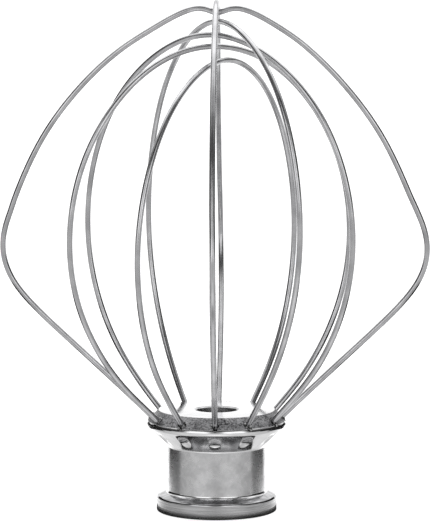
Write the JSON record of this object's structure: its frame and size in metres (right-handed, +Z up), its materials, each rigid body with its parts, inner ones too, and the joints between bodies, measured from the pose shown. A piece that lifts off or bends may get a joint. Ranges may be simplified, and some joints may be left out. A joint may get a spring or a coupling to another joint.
{
  "type": "stand mixer wire whip",
  "caption": "Wire whip attachment for a stand mixer: closed wire loops staked into a turned hub that locks onto the mixer's shaft with a twist.",
  "frame": {"origin": "centre of the hub's bottom face, on the shaft axis", "axes": "+Z up the hub's axis towards the crown of the loops; the wide loops lie in the XZ and YZ planes; the keyhole slot opens towards +Y"},
  "size_m": [0.1312, 0.1312, 0.1557],
  "materials": {
    "turned_aluminium": "turned and burnished, with a polished top face",
    "turned_aluminium_collar": "turned, satin",
    "bush_steel": "bored and reamed steel",
    "drawn_wire": "drawn stainless wire, bright"
  },
  "bodies": {
    "root": {"hub_body": "turned_aluminium", "base_collar": "turned_aluminium_collar", "shaft_bush": "bush_steel", "stop_dowel": "bush_steel", "wire_wide_lower": "drawn_wire", "wire_wide_upper": "drawn_wire", "wire_inner_first": "drawn_wire", "wire_inner_second": "drawn_wire", "wire_inner_third": "drawn_wire", "wire_inner_fourth": "drawn_wire"}
  },
  "joints": []
}
